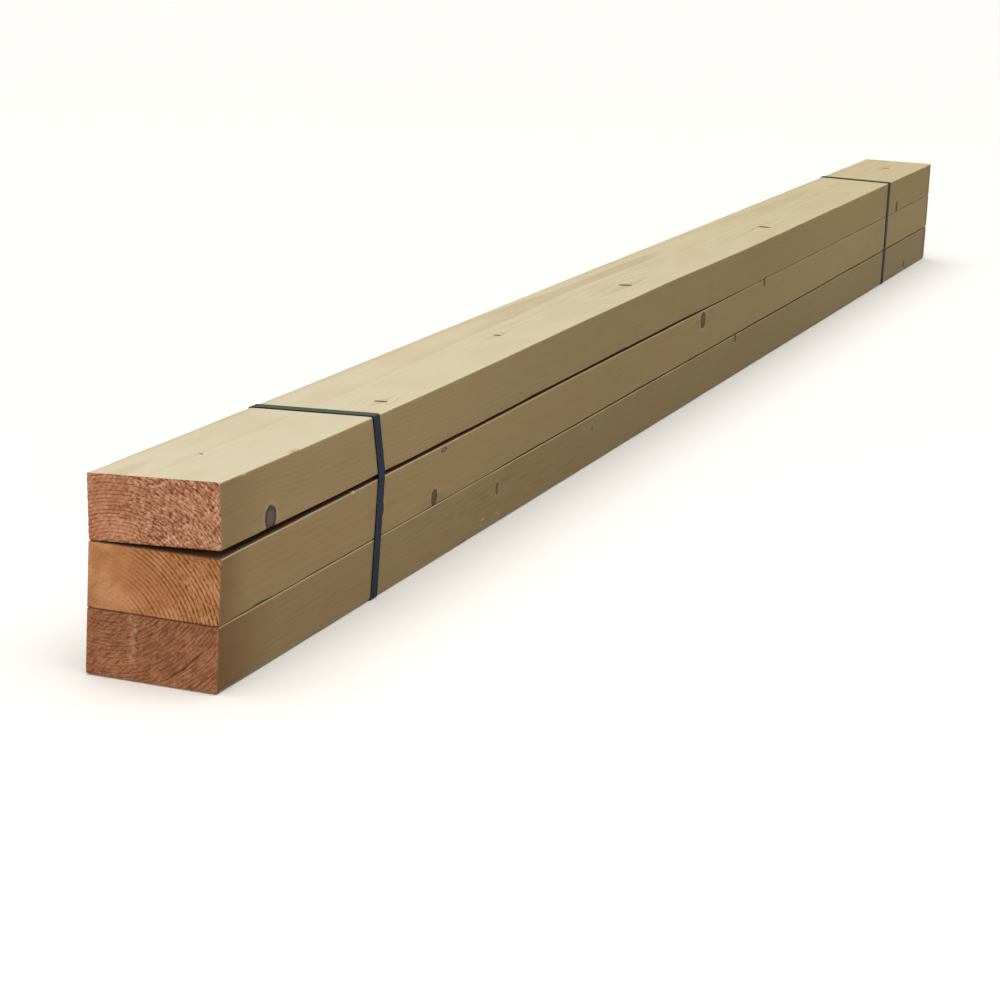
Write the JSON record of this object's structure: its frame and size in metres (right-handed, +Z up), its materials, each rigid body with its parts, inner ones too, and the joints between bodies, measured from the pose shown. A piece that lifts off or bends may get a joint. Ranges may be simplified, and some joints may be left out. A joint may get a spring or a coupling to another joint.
{
  "type": "bundle of pine studs",
  "caption": "Strapped bundle of planed softwood studs laid flat one on another, slightly twisted so the joints stand open on one side.",
  "frame": {"origin": "on the floor, under the middle of the bundle; the undersides of the two straps lie on the floor", "axes": "+X along the studs from the near end to the far end, +Z up; the side whose joints stand open faces -Y, and the straps' welded laps are on the +Y side"},
  "size_m": [2.4, 0.0983, 0.1413],
  "materials": {
    "pine": "matte",
    "strapping": "satin"
  },
  "bodies": {
    "root": {"bottom_stud": "pine", "middle_stud": "pine", "top_stud": "pine", "near_strap": "strapping", "far_strap": "strapping"}
  },
  "joints": []
}
